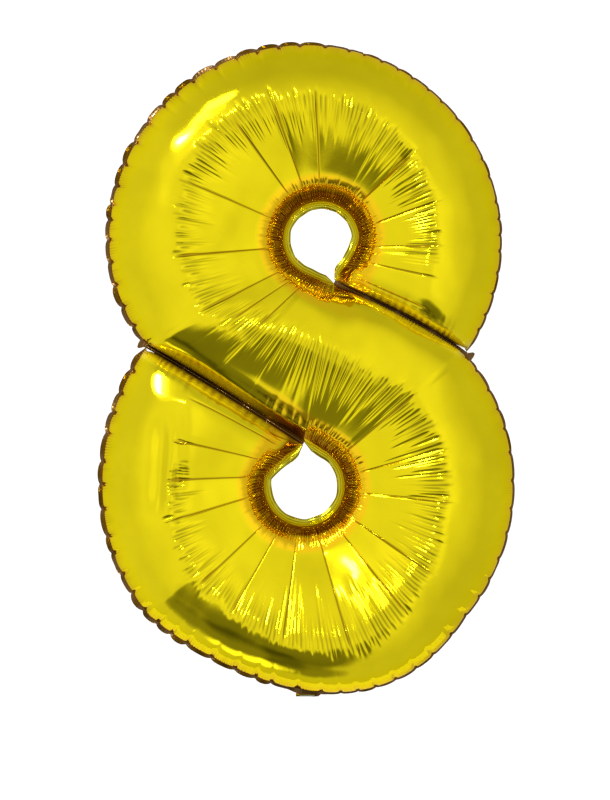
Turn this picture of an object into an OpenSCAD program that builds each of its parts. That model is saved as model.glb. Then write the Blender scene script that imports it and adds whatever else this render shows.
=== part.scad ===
/* [Outline] */
// Radius of the upper loop, over its sealed rim
upper_rim_r = 264; // [255:1:272]
// Radius of the lower loop, over its sealed rim
lower_rim_r = 277; // [270:1:285]
// Height of the upper loop's centre over the lower loop's centre
loop_gap = 318; // [312:1:325]
// Sideways place of the upper loop's centre
upper_x = -3.5; // [-8:0.5:0]
// Width of the sealed rim outside the gas chamber
rim_w = 8; // [6:0.5:10]
// How far the lower loop's foot leans out on one side and in on the other
foot_lean = 11; // [0:1:12]

/* [Holes] */
// Radius of the upper hole, to its weld
upper_hole_r = 46; // [42:1:50]
// Upper hole's centre, sideways from its loop's centre
upper_hole_x = 21.6; // [15:0.1:25]
// Upper hole's centre, above its loop's centre
upper_hole_z = 2; // [0:0.5:5]
// Radius of the lower hole, to its weld
lower_hole_r = 49; // [45:1:53]
// Lower hole's centre, sideways from its loop's centre
lower_hole_x = -3.9; // [-8:0.1:0]
// Lower hole's centre, above its loop's centre
lower_hole_z = -2.3; // [-5:0.1:0]
// How far the lobe's end pushes into the upper hole
upper_tuck = 3.5; // [0:0.5:5]
// How far the lobe's end pushes into the lower hole
lower_tuck = 8; // [0:0.5:9]
// Width of the sealed edge round a hole
hole_rim_w = 6; // [4:0.5:7]
// Width of the weld along each slit
slit_w = 5; // [4:0.5:6]

/* [Inflated shape] */
// Depth of each film's bulge, from the weld plane to its crest
half_depth = 70; // [60:1:76]
// Length over which a closed end of the stroke rounds down to its weld
cap_length = 68; // [55:1:85]
// Thickness that stands in for a film panel
film_t = 1; // [0.8:0.1:1.2]
// Thickness that stands in for a weld of two films
weld_t = 2; // [1.6:0.1:2.4]

/* [Neck and valve] */
// Width of the filling neck
neck_w = 30; // [26:1:34]
// Length of the filling neck
neck_length = 76; // [68:1:80]
// Thickness of a foil ply of the neck
neck_ply_t = 0.8; // [0.6:0.1:1]
// Width of each edge seal of the neck
neck_seal_w = 4; // [3:0.5:5]
// Radius of the inflation hole in the neck's front ply
inlet_r = 5; // [4:0.5:6]
// Distance of the inflation hole from the fold
inlet_drop = 58; // [50:1:60]
// Width of the valve film
valve_w = 20; // [16:1:21]
// Thickness of one valve ply
valve_t = 0.5; // [0.4:0.1:0.6]
// Length of the valve inside the gas chamber
valve_length = 90; // [70:1:100]
// Angle of the folded neck above straight back
neck_rise = 20; // [15:1:22]

/* [Hidden] */

gold = [0.87, 0.76, 0.02];
weld_gold = [0.55, 0.40, 0.03];
clear_film = [0.85, 0.88, 0.92];

// The origin is the root of the neck, at the bottom of the rim
root_gap = 1;
lower_c = [0, lower_rim_r + root_gap];
upper_c = lower_c + [upper_x, loop_gap];
upper_r = upper_rim_r - rim_w;
lower_r = lower_rim_r - rim_w;
upper_hole_c = upper_c + [upper_hole_x, upper_hole_z];
lower_hole_c = lower_c + [lower_hole_x, lower_hole_z];

// Angles, anticlockwise from the right, where the stroke leaves a loop and where a slit leaves a hole
upper_turn_deg = 225;
upper_tangent_deg = 246;
lower_turn_deg = 36;
lower_tangent_deg = 57;

function polar(c, r, deg) = c + r * [cos(deg), sin(deg)];
function unit(v) = v / norm(v);
function left_of(v) = [-v.y, v.x];
function mix(a, b, k) = a + (b - a) * k;
function ease(x) = let (k = max(0, min(1, x))) k * k * (3 - 2 * k);
function fade(x) = pow(max(0, 1 - x), 2);
function bearing(c, p) = atan2(p.y - c.y, p.x - c.x);

// Where the two loops' welds cross: the waist on the right, s = 1, or on the left, s = -1
loop_axis = unit(upper_c - lower_c);
loop_d = norm(upper_c - lower_c);
waist_up = (lower_r * lower_r - upper_r * upper_r + loop_d * loop_d) / (2 * loop_d);
waist_out = sqrt(lower_r * lower_r - waist_up * waist_up);
function waist(s, lift) = lower_c + waist_up * loop_axis - s * waist_out * left_of(loop_axis) + [0, lift];
right_waist = waist(1, -4);
left_waist = waist(-1, 16);

// A slit leaves its hole along the tangent and bends to the waist
function slit(c, r, deg, reach, finish, t) = let (
        start = polar(c, r, deg),
        bend = start + reach * [-sin(deg), cos(deg)]
    ) (1 - t) * (1 - t) * start + 2 * t * (1 - t) * bend + t * t * finish;
function right_slit(t) = slit(upper_hole_c, upper_hole_r, upper_tangent_deg, 162, right_waist, t);
function left_slit(t) = slit(lower_hole_c, lower_hole_r, lower_tangent_deg, 200, left_waist, t);

// Along the diagonal, the share that still follows a hole, and the shares where the slits open into the holes
tangent_share = 0.065;
right_notch = 0.18;
left_notch = 0.14;
function slit_t(share) = (share - tangent_share) / (1 - tangent_share);

// The closed ends of the stroke lie a weld's width from the slits, from hole (k = 0) to waist (k = 1)
function beside(p, q) = p + slit_w * unit(left_of(q - p));
function right_cap(k) = let (t = mix(slit_t(right_notch), 0.985, k)) beside(right_slit(t), right_slit(t + 0.01));
function left_cap(k) = let (t = mix(slit_t(left_notch), 0.985, k)) beside(left_slit(t), left_slit(t + 0.01));

// The lower loop's foot leans to the right: it stands out just right of the bottom and is drawn in left of it
foot_deg = -91;
function lean(deg) = abs(deg - foot_deg) < 50 ? foot_lean * sin(3.6 * (deg - foot_deg)) : 0;

// An outer edge is an arc that eases to its two given ends
function rim_edge(c, r, first, last, turn, k) = let (
        from = bearing(c, first),
        to = bearing(c, last) + turn,
        deg = mix(from, to, k),
        ends = (norm(first - c) - r) * fade(k / 0.14) + (norm(last - c) - r) * fade((1 - k) / 0.14),
        foot = turn < 0 ? lean(deg) : 0
    ) polar(c, r + ends + foot, deg);

// A hole's edge is an arc that reaches out to the closed end's corner at k = 0, where the lobe pushes into it
function hole_edge(c, r, corner, turn, to, tuck, k) = let (
        from = bearing(c, corner) + turn,
        deg = mix(from, to, k),
        reach = (norm(corner - c) - r) * fade(abs(deg - from) / 20),
        push = tuck * sin(180 * min(1, abs(deg - from) / 75))
    ) polar(c, r + reach - push, deg);

// The foil is one S-shaped stroke: u runs along it, from 0 at the right slit over the top to 1, down the
// diagonal to 2 and round to 3 at the left slit, and v runs across it from edge_a to edge_b
function edge_a(u) =
    u <= 1 ? hole_edge(upper_hole_c, upper_hole_r, right_cap(0), 0, upper_turn_deg, upper_tuck, u) :
    u <= 1 + tangent_share ? polar(upper_hole_c, upper_hole_r,
        mix(upper_turn_deg, upper_tangent_deg, (u - 1) / tangent_share)) :
    u <= 2 ? right_slit((u - 1 - tangent_share) / (1 - tangent_share)) :
    rim_edge(lower_c, lower_r, right_waist, left_cap(1), -360, u - 2);
function edge_b(u) =
    u <= 1 ? rim_edge(upper_c, upper_r, right_cap(1), left_waist, 360, u) :
    u <= 2 - tangent_share ? left_slit((2 - tangent_share - u) / (1 - tangent_share)) :
    u <= 2 ? polar(lower_hole_c, lower_hole_r,
        mix(lower_turn_deg, lower_tangent_deg, (2 - u) / tangent_share)) :
    hole_edge(lower_hole_c, lower_hole_r, left_cap(0), -360, lower_turn_deg, lower_tuck, 3 - u);

// Place of a point of the stroke in the weld plane, as [x, z]
function straight(u, v) = mix(edge_a(u), edge_b(u), v);
function place(u, v) = straight(u, v)
    + fade(u / 0.25) * (right_cap(v) - straight(0, v))
    + fade((3 - u) / 0.25) * (left_cap(1 - v) - straight(3, v));

// Height of the film over the weld plane: low funnels at the holes, steep walls at the rim and the slits
function by_upper_hole(u) = 1 - ease((u - 0.9) / 0.3);
function by_lower_hole(u) = ease((u - 1.8) / 0.3);
function bulge(u, v) = let (
        crest = 0.5 + 0.07 * by_upper_hole(u) - 0.07 * by_lower_hole(u),
        near_a = v < crest,
        x = near_a ? 1 - v / crest : (v - crest) / (1 - crest),
        hole = near_a ? by_upper_hole(u) : by_lower_hole(u)
    ) pow(max(0, 1 - pow(x, 2.1)), mix(0.5, 0.75, hole));
function closing(u, v) = let (
        end = u < 1.5 ? 0 : 3,
        d = norm(place(u, v) - place(end, v)) / cap_length
    ) d < 1 ? sqrt(1 - (1 - d) * (1 - d)) : 1;
function height(u, v) = (half_depth - film_t) * bulge(u, v) * closing(u, v);

// Where the stroke is sampled
loop_steps = 42;
diagonal_us = concat([tangent_share, 0.12], [for (i = [0:9]) mix(right_notch, 1 - left_notch, i / 9)],
    [0.9, 1 - tangent_share, 1]);
us = concat([for (i = [0:loop_steps]) pow(i / loop_steps, 1.4)], [for (k = diagonal_us) 1 + k],
    [for (i = [loop_steps - 1:-1:0]) 3 - pow(i / loop_steps, 1.4)]);
rows = 12;
vs = [for (j = [0:rows]) (1 - cos(180 * j / rows)) / 2];
cols = len(us) - 1;

function edge_a_from(first, last) = [for (u = us) if (u >= first - 0.001 && u <= last + 0.001) edge_a(u)];
function edge_b_from(first, last) = [for (u = us) if (u >= first - 0.001 && u <= last + 0.001) edge_b(u)];

// The film's inner face is drawn in from its edges by the film's thickness
function drawn_in(u, v) = let (
        across = unit(edge_b(u) - edge_a(u)),
        step = 0.002,
        along = u < 1.5 ? unit(place(u + step, v) - place(u, v)) : unit(place(u, v) - place(u - step, v)),
        ends = max(0, 1 - u / 0.15) - max(0, 1 - (3 - u) / 0.15)
    ) place(u, v) + film_t * ((1 - 2 * v) * across + ends * along);

// Numbers of the points round the edge of a grid of (cols + 1) by (rows + 1)
function grid_at(i, j) = i * (rows + 1) + j;
edge_loop = concat(
    [for (i = [0:cols - 1]) grid_at(i, 0)],
    [for (j = [0:rows - 1]) grid_at(cols, j)],
    [for (i = [cols:-1:1]) grid_at(i, rows)],
    [for (j = [rows:-1:1]) grid_at(0, j)]);
function column_of(n) = floor(n / (rows + 1));
function row_of(n) = n % (rows + 1);

// One film as a closed shell that bulges to the side s, -1 for the front and 1 for the rear
module film(s) {
    grid = (cols + 1) * (rows + 1);
    loop = len(edge_loop);
    outside = [for (u = us) for (v = vs) let (p = place(u, v)) [p.x, s * (film_t + height(u, v)), p.y]];
    inside = [for (u = us) for (v = vs) let (p = drawn_in(u, v)) [p.x, s * height(u, v), p.y]];
    foot = [for (n = edge_loop) let (p = place(us[column_of(n)], vs[row_of(n)])) [p.x, 0, p.y]];
    function turned(f) = s > 0 ? f : [f[2], f[1], f[0]];
    function two(a, b, c, d) = [turned([a, b, c]), turned([a, c, d])];
    faces = [
        for (i = [0:cols - 1]) for (j = [0:rows - 1])
            each two(grid_at(i, j), grid_at(i, j + 1), grid_at(i + 1, j + 1), grid_at(i + 1, j)),
        for (i = [0:cols - 1]) for (j = [0:rows - 1])
            each two(grid + grid_at(i, j), grid + grid_at(i + 1, j),
                grid + grid_at(i + 1, j + 1), grid + grid_at(i, j + 1)),
        for (k = [0:loop - 1]) let (m = (k + 1) % loop)
            each two(edge_loop[k], edge_loop[m], 2 * grid + m, 2 * grid + k),
        for (k = [0:loop - 1]) let (m = (k + 1) % loop)
            each two(2 * grid + k, 2 * grid + m, grid + edge_loop[m], grid + edge_loop[k])
    ];
    polyhedron(concat(outside, inside, foot), faces, convexity = 6);
}

// A flat weld lies in the weld plane
module weld(outline) {
    translate([0, weld_t / 2, 0]) rotate([90, 0, 0]) linear_extrude(weld_t) polygon(outline);
}

// The outline of a strip of the width w on the left of a path, or on its right with w below 0,
// narrowed to a point over the length taper at both ends
function strip(path, w, taper) = let (
        last = len(path) - 1,
        side = [for (i = [0:last]) let (
                dir = unit(path[min(last, i + 1)] - path[max(0, i - 1)]),
                from_end = min(norm(path[i] - path[0]), norm(path[i] - path[last])),
                share = max(0.05, min(1, from_end / taper))
            ) path[i] + w * share * left_of(dir)]
    ) concat(path, [for (i = [last:-1:0]) side[i]]);

module front_film() {
    color(gold) film(-1);
}

module rear_film() {
    color(gold) film(1);
}

module upper_rim_weld() {
    color(weld_gold) weld(strip(edge_b_from(0, 1), -rim_w, 20));
}

module lower_rim_weld() {
    color(weld_gold) weld(strip(edge_a_from(2, 3), rim_w, 20));
}

module upper_hole_weld() {
    color(weld_gold) weld(strip(edge_a_from(0, 1 + right_notch), hole_rim_w, 14));
}

module lower_hole_weld() {
    color(weld_gold) weld(strip(edge_b_from(2 - left_notch, 3), -hole_rim_w, 14));
}

// The weld of a slit, between the diagonal's edge and the closed end, with a small flap at the waist
module slit_weld(edge, cap, waist_point) {
    cap_end = cap[len(cap) - 1];
    flap = mix(waist_point, cap_end, 0.6) - 0.35 * rim_w * unit(left_of(cap_end - waist_point));
    weld(concat(edge, [flap], [for (i = [len(cap) - 1:-1:0]) cap[i]]));
}

module right_slit_weld() {
    color(weld_gold)
        slit_weld(edge_a_from(1 + right_notch, 2), [for (v = vs) right_cap(v)], right_waist);
}

module left_slit_weld() {
    edge = edge_b_from(1, 2 - left_notch);
    color(weld_gold) slit_weld([for (i = [len(edge) - 1:-1:0]) edge[i]],
        [for (j = [rows:-1:0]) left_cap(1 - vs[j])], left_waist);
}

// The neck is drawn hanging straight down from the fold and turned up behind the balloon
module folded() {
    rotate([90 + neck_rise, 0, 0]) children();
}

// A flat strip of film, w wide, from the height top down to the height bottom, at y0 to y0 + t
module ply(w, top, bottom, y0, t) {
    translate([-w / 2, y0, bottom]) cube([w, t, top - bottom]);
}

fold_gap = 2.5;
neck_top = -fold_gap;
neck_bottom = neck_top - neck_length;
seal_y = valve_t;

module neck_front_ply() {
    color(gold) folded() difference() {
        ply(neck_w, neck_top, neck_bottom, -seal_y - neck_ply_t, neck_ply_t);
        translate([0, 0, -inlet_drop]) rotate([90, 0, 0]) cylinder(r = inlet_r, h = 20, $fn = 48);
    }
}

module neck_rear_ply() {
    color(gold) folded() ply(neck_w, neck_top, neck_bottom, seal_y, neck_ply_t);
}

module neck_seal(side) {
    color(weld_gold) folded() translate([side * (neck_w - neck_seal_w) / 2, 0, 0])
        ply(neck_seal_w, neck_top, neck_bottom, -seal_y, 2 * seal_y);
}

module neck_left_seal() {
    neck_seal(-1);
}

module neck_right_seal() {
    neck_seal(1);
}

// The valve's own two plies start beyond the inflation hole and run up the neck to the fold
valve_bottom = -inlet_drop + inlet_r + 4;

module valve_inlet_front_ply() {
    color(clear_film) folded() ply(valve_w, neck_top, valve_bottom, -valve_t, valve_t);
}

module valve_inlet_rear_ply() {
    color(clear_film) folded() ply(valve_w, neck_top, valve_bottom, 0, valve_t);
}

// Inside the gas chamber the same two plies lie together as flaps that the gas presses shut
flap_bottom = rim_w + root_gap + 4;
flap_gap = 0.1;

module valve_front_flap() {
    color(clear_film) ply(valve_w, flap_bottom + valve_length, flap_bottom, -valve_t - flap_gap / 2, valve_t);
}

module valve_rear_flap() {
    color(clear_film) ply(valve_w, flap_bottom + valve_length, flap_bottom, flap_gap / 2, valve_t);
}

front_film();
rear_film();
upper_rim_weld();
lower_rim_weld();
upper_hole_weld();
lower_hole_weld();
right_slit_weld();
left_slit_weld();
neck_front_ply();
neck_rear_ply();
neck_left_seal();
neck_right_seal();
valve_inlet_front_ply();
valve_inlet_rear_ply();
valve_front_flap();
valve_rear_flap();
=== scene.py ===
import math

import bpy
import numpy as np
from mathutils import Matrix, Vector


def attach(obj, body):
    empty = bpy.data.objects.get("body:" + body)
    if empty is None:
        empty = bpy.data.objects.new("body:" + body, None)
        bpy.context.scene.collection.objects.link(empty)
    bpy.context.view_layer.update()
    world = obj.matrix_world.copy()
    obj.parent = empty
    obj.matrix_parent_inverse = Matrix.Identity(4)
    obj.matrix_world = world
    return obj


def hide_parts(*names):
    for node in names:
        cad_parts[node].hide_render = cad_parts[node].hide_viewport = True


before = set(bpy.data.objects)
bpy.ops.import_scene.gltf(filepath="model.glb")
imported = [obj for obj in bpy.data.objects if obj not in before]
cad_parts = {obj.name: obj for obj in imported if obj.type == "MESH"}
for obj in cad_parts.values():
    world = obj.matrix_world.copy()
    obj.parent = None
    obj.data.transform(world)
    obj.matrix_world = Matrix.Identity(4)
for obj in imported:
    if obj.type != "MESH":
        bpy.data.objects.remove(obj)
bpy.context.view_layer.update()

MM = 0.001

# ---------------------------------------------------------------- the outline, as in part.scad, in mm
# A stroke runs through the upper loop, the diagonal and the lower loop. A place on it has a u, which goes
# from 0 to 3 along the stroke, and a v, which goes from 0 to 1 across it, from edge_a to edge_b.
RIM_W = 8.0
HOLE_RIM_W = 6.0
SLIT_W = 5.0
HALF_DEPTH = 70.0
WIDEST = 232.0
FOOT_LEAN = 11.0
FOOT_DEG = -91.0
FOOT_SPAN = 50.0
LOWER_C = np.array([0.0, 278.0])
UPPER_C = LOWER_C + np.array([-3.5, 318.0])
UPPER_R = 264.0 - RIM_W
LOWER_R = 277.0 - RIM_W
UPPER_HOLE_C = UPPER_C + np.array([21.6, 2.0])
LOWER_HOLE_C = LOWER_C + np.array([-3.9, -2.3])
UPPER_HOLE_R = 46.0
LOWER_HOLE_R = 49.0
UPPER_TURN, UPPER_TANGENT = 225.0, 246.0
LOWER_TURN, LOWER_TANGENT = 36.0, 57.0
TANGENT_SHARE = 0.15
RIGHT_NOTCH = 0.123
LEFT_NOTCH = 0.08
CAP_STOP = 0.985
UPPER_TUCK = 3.5
LOWER_TUCK = 8.0
CORNER_SPAN = 20.0
TUCK_SPAN = 75.0
# Shares of an edge over which it eases to its given ends
RIM_BLEND = 0.14
HOLE_BLEND = 0.35
END_BLEND = 0.25

# The profile across the stroke: a funnel beside each hole, a shoulder, then a shelf that climbs to the crest
FUNNEL_SLOPE = 1.75
FUNNEL_START = 1.5
SHOULDER_SLOPE = 0.85
SHOULDER_START = 15.0
SHELF_SLOPE = 0.31
BEAD_HEIGHT = 1.1
BEAD_AT = 28.0
BEAD_SPREAD = 6.0
# A rounded side is part of an arch this much wider than its run to the crest
ARCH_SPARE = 1.3
RIM_FULLNESS = 2
SLIT_FULLNESS = 3.4
CAP_LENGTH = 58.0
# Where the crest lies across the stroke, along the stroke
CREST_U = (0, 0.2, 0.35, 0.5, 0.65, 0.8, 1, 1.25, 1.5, 2, 2.2, 2.35, 2.45, 2.55, 2.7, 2.85, 3)
CREST_V = (0.50, 0.52, 0.55, 0.60, 0.60, 0.58, 0.56, 0.48, 0.42,
           0.42, 0.42, 0.35, 0.30, 0.32, 0.43, 0.46, 0.50)


def ease(x):
    """A smooth step from 0 to 1 while x goes from 0 to 1."""
    k = np.clip(x, 0, 1)
    return k * k * (3 - 2 * k)


def fade(x):
    """Falls from 1 to 0 while x goes from 0 to 1."""
    return np.maximum(0, 1 - x) ** 2


def polar(centre, radius, degrees):
    a = np.radians(degrees)
    return centre + np.stack([radius * np.cos(a), radius * np.sin(a)], axis=-1)


def mix(a, b, k):
    return a + (b - a) * k


def unit(v):
    return v / np.maximum(np.linalg.norm(v, axis=-1, keepdims=True), 1e-9)


def left_of(v):
    return np.stack([-v[..., 1], v[..., 0]], axis=-1)


def bearing(centre, p, low):
    """Direction of p from the centre in degrees, in the turn that starts at low."""
    d = p - centre
    return (np.degrees(np.arctan2(d[..., 1], d[..., 0])) - low) % 360 + low


def waist(side, lift):
    """Where the two loops' outer circles cross, moved up by the lift."""
    axis = unit(UPPER_C - LOWER_C)
    gap = np.linalg.norm(UPPER_C - LOWER_C)
    up = (LOWER_R**2 - UPPER_R**2 + gap**2) / (2 * gap)
    out = math.sqrt(LOWER_R**2 - up**2)
    return LOWER_C + up * axis - side * out * left_of(axis) + np.array([0, lift])


RIGHT_WAIST = waist(1, -4)
LEFT_WAIST = waist(-1, 16)


def slit(centre, radius, degrees, reach, finish, t):
    """A curve that leaves a hole's circle along its tangent and ends at a waist."""
    a = math.radians(degrees)
    start = polar(centre, radius, degrees)
    bend = start + reach * np.array([-math.sin(a), math.cos(a)])
    t = np.asarray(t, float)[..., None]
    return (1 - t) ** 2 * start + 2 * t * (1 - t) * bend + t * t * finish


def right_slit(t):
    return slit(UPPER_HOLE_C, UPPER_HOLE_R, UPPER_TANGENT, 162, RIGHT_WAIST, t)


def left_slit(t):
    return slit(LOWER_HOLE_C, LOWER_HOLE_R, LOWER_TANGENT, 200, LEFT_WAIST, t)


def cap_line(slit_line, notch, k):
    """The closed end of the stroke, beside its slit."""
    t = mix(notch, CAP_STOP, np.asarray(k, float))
    p, q = slit_line(t), slit_line(t + 0.01)
    return p + SLIT_W * unit(left_of(q - p))


def right_cap(k):
    return cap_line(right_slit, RIGHT_NOTCH, k)


def left_cap(k):
    return cap_line(left_slit, LEFT_NOTCH, k)


def foot_lean(degrees):
    """How far the lower rim stands out on one side of the foot and in on the other."""
    off = degrees - FOOT_DEG
    turn = np.radians(180 / FOOT_SPAN * off)
    return np.where(np.abs(off) < FOOT_SPAN, FOOT_LEAN * np.sin(turn), 0)


def rim_edge(centre, radius, first, last, low, turn, foot, k):
    """An arc that eases to its two given ends."""
    start, stop = bearing(centre, first, low), bearing(centre, last, low) + turn
    ends = (np.linalg.norm(first - centre) - radius) * fade(k / RIM_BLEND)
    ends = ends + (np.linalg.norm(last - centre) - radius) * fade((1 - k) / RIM_BLEND)
    degrees = mix(start, stop, k)
    return polar(centre, radius + ends + (foot_lean(degrees) if foot else 0), degrees)


def upper_rim(k):
    return rim_edge(UPPER_C, UPPER_R, right_cap(1), LEFT_WAIST, -90, 0, False, k)


def lower_rim(k):
    return rim_edge(LOWER_C, LOWER_R, left_cap(1), RIGHT_WAIST, -270, 0, True, k)


def hole_edge(centre, radius, corner, low, stop, tuck, rim, k):
    """An arc in line with the rim, that reaches out to the closed end's corner at k = 0."""
    start = bearing(centre, corner, low)
    off_start = start - bearing(centre, rim(np.array(0.0)), low)
    off_stop = stop - bearing(centre, rim(np.array(1.0)), low)
    degrees = bearing(centre, rim(k), low) + off_start * fade(k / HOLE_BLEND)
    degrees = degrees + off_stop * fade((1 - k) / HOLE_BLEND)
    off = np.abs(degrees - start)
    reach = (np.linalg.norm(corner - centre) - radius) * fade(off / CORNER_SPAN)
    push = tuck * np.sin(math.pi * np.minimum(1, off / TUCK_SPAN))
    return polar(centre, radius + reach - push, degrees)


def upper_hole(k):
    return hole_edge(UPPER_HOLE_C, UPPER_HOLE_R, right_cap(0), -90, UPPER_TURN, UPPER_TUCK, upper_rim, k)


def lower_hole(k):
    return hole_edge(LOWER_HOLE_C, LOWER_HOLE_R, left_cap(0), -270, LOWER_TURN, LOWER_TUCK, lower_rim, k)


def diagonal(slit_line, notch, centre, radius, turn, tangent, k):
    """From a hole's circle (k = 0) past the notch (k = 0.5) along a slit to its waist (k = 1)."""
    arc = polar(centre, radius, mix(turn, tangent, k / TANGENT_SHARE))
    near = slit_line(notch * (k - TANGENT_SHARE) / (0.5 - TANGENT_SHARE))
    far = slit_line(mix(notch, 1, (k - 0.5) / 0.5))
    k = k[..., None]
    return np.where(k <= TANGENT_SHARE, arc, np.where(k <= 0.5, near, far))


def upper_diagonal(k):
    return diagonal(right_slit, RIGHT_NOTCH, UPPER_HOLE_C, UPPER_HOLE_R, UPPER_TURN, UPPER_TANGENT, k)


def lower_diagonal(k):
    return diagonal(left_slit, LEFT_NOTCH, LOWER_HOLE_C, LOWER_HOLE_R, LOWER_TURN, LOWER_TANGENT, k)


def three_parts(u, upper, middle, lower):
    """Each part is a line over k from 0 to 1."""
    u = np.asarray(u, float)
    w = u[..., None]
    return np.where(w <= 1, upper(np.clip(u, 0, 1)),
                    np.where(w <= 2, middle(np.clip(u - 1, 0, 1)), lower(np.clip(u - 2, 0, 1))))


def edge_a(u):
    return three_parts(u, upper_hole, upper_diagonal, lambda k: lower_rim(1 - k))


def edge_b(u):
    return three_parts(u, upper_rim, lambda k: lower_diagonal(1 - k), lambda k: lower_hole(1 - k))


def straight(u, v):
    """Points on straight lines from edge to edge."""
    return mix(edge_a(u), edge_b(u), v[..., None])


def place(u, v):
    """Points of the stroke in the weld plane, bent to its closed ends; u and v are arrays of one shape."""
    first, last = np.zeros_like(u), np.full_like(u, 3.0)
    return (straight(u, v)
            + fade(u / END_BLEND)[..., None] * (right_cap(v) - straight(first, v))
            + fade((3 - u) / END_BLEND)[..., None] * (left_cap(1 - v) - straight(last, v)))


def by_upper_hole(u):
    """1 where edge_a runs round the upper hole, easing to 0 where it is a slit or the rim."""
    return 1 - ease((u - 1.3) / 0.4)


def by_lower_hole(u):
    """1 where edge_b runs round the lower hole, easing to 0 where it is a slit or the rim."""
    return ease((u - 1.08) / 0.36)


def by_lower_funnel(u):
    """As by_lower_hole, but later, because the funnel starts past the end of the slit."""
    return by_lower_hole(u) * ease((u - 1.3) / 0.2)


def soft_min(a, b, k):
    """The lower of two values, rounded off where they are within k of each other."""
    h = np.maximum(0, k - np.abs(a - b)) / k
    return np.minimum(a, b) - h * h * k / 4


def arch(share, fullness):
    """Rises steeply from 0 to 1; the fuller, the sooner it is near 1."""
    return (1 - (1 - np.minimum(1, share)) ** fullness) ** (1 / fullness)


def rounded(d, crest, depth, fullness):
    """A side that stands up steeply from its weld and rounds over to the crest."""
    return depth * arch(d / (ARCH_SPARE * crest), fullness) / arch(1 / ARCH_SPARE, fullness)


def shelved(d, crest, depth, run):
    """A side with a steep funnel, then a shoulder with a low bead, then a flat shelf up to the crest."""
    funnel = FUNNEL_SLOPE * d / run + FUNNEL_START * (1 - np.exp(-d))
    wall = soft_min(funnel, SHOULDER_START + SHOULDER_SLOPE * d / run, 7)
    bead = BEAD_HEIGHT * np.exp(-(((d - BEAD_AT) / BEAD_SPREAD) ** 2))
    return soft_min(wall, depth - SHELF_SLOPE * (crest - d), 5) + bead


def crest_share(u):
    """How far across the stroke its crest lies, from edge_a, smoothed along the stroke."""
    fine = np.linspace(-0.3, 3.3, 1441)
    weight = np.exp(-(np.linspace(-0.15, 0.15, 121) / 0.05) ** 2)
    smooth = np.convolve(np.interp(fine, CREST_U, CREST_V), weight / weight.sum(), mode="same")
    return np.interp(u, fine, smooth)


def height(u, v, width):
    """How far the film bulges from the weld plane."""
    crest = crest_share(u) * width
    depth = (HALF_DEPTH - 1) * np.minimum(1, width / WIDEST) ** 0.6
    a, b = v * width, (1 - v) * width
    run = mix(0.55, 1, ease((u - 1.4) / 0.2))
    full_a = mix(RIM_FULLNESS, SLIT_FULLNESS, ease((u - 1.5) / 0.1) * ease((2.05 - u) / 0.1))
    full_b = mix(RIM_FULLNESS, SLIT_FULLNESS, ease((u - 0.95) / 0.1) * ease((1.5 - u) / 0.1))
    round_a = rounded(a, crest, depth, full_a)
    round_b = rounded(b, width - crest, depth, full_b)
    from_a = mix(round_a, shelved(a, crest, depth, 1), by_upper_hole(u))
    from_b = mix(round_b, shelved(b, width - crest, depth, run), by_lower_hole(u))
    return np.maximum(0, soft_min(from_a, from_b, 5)) * closing(u, v)


def closing(u, v):
    """Rises from 0 at the closed ends of the stroke to 1 in its middle."""
    end = np.where(u < 1.5, 0.0, 3.0)
    d = np.linalg.norm(place(u, v) - place(end, v), axis=-1) / CAP_LENGTH
    return arch(d, SLIT_FULLNESS)


# ---------------------------------------------------------------- mesh helpers
def link_mesh(name, vertices, faces):
    """A smooth-shaded mesh object from vertices in mm."""
    mesh = bpy.data.meshes.new(name)
    mesh.from_pydata((np.asarray(vertices) * MM).tolist(), [], faces)
    mesh.update()
    mesh.shade_smooth()
    obj = bpy.data.objects.new(name, mesh)
    bpy.context.scene.collection.objects.link(obj)
    return obj


def grid_quads(rows, cols, flip):
    """The four corner numbers of each cell of a grid."""
    at = np.arange(rows * cols).reshape(rows, cols)
    a, b, c, d = at[:-1, :-1], at[1:, :-1], at[1:, 1:], at[:-1, 1:]
    return np.stack([a, d, c, b] if flip else [a, b, c, d], axis=-1).reshape(-1, 4)


def grid_normals(points):
    along = np.gradient(points, axis=0)
    across = np.gradient(points, axis=1)
    return unit(np.cross(across, along))


def sheet_mesh(name, points, flip):
    """A single sheet from a grid of points."""
    quads = grid_quads(points.shape[0], points.shape[1], flip)
    return link_mesh(name, points.reshape(-1, 3), quads.tolist())


def shell_mesh(name, points, thickness):
    """A closed thin shell whose middle is a grid of points."""
    rows, cols = points.shape[:2]
    lift = grid_normals(points) * thickness / 2
    count = rows * cols
    at = np.arange(count).reshape(rows, cols)
    rim = np.concatenate([at[:-1, 0], at[-1, :-1], at[:0:-1, -1], at[0, :0:-1]])
    after = np.roll(rim, -1)
    walls = np.stack([rim, after, after + count, rim + count], axis=-1)
    faces = np.concatenate([grid_quads(rows, cols, False), grid_quads(rows, cols, True) + count, walls])
    return link_mesh(name, np.concatenate([(points + lift).reshape(-1, 3), (points - lift).reshape(-1, 3)]),
                     faces.tolist())


def lengths(points):
    """The length of a line of points up to each of them."""
    return np.concatenate([[0], np.cumsum(np.linalg.norm(np.diff(points, axis=0), axis=1))])


# The middle line of the stroke: its u, its points and its length, in mm
REF_U = np.linspace(0, 3, 6001)
REF_P = place(REF_U, np.full_like(REF_U, 0.5))
REF_S = lengths(REF_P)

# ---------------------------------------------------------------- the scalloped rim
SCALLOP_OUT = 2.2
SCALLOP_ALONG_Y = 1.6


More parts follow.
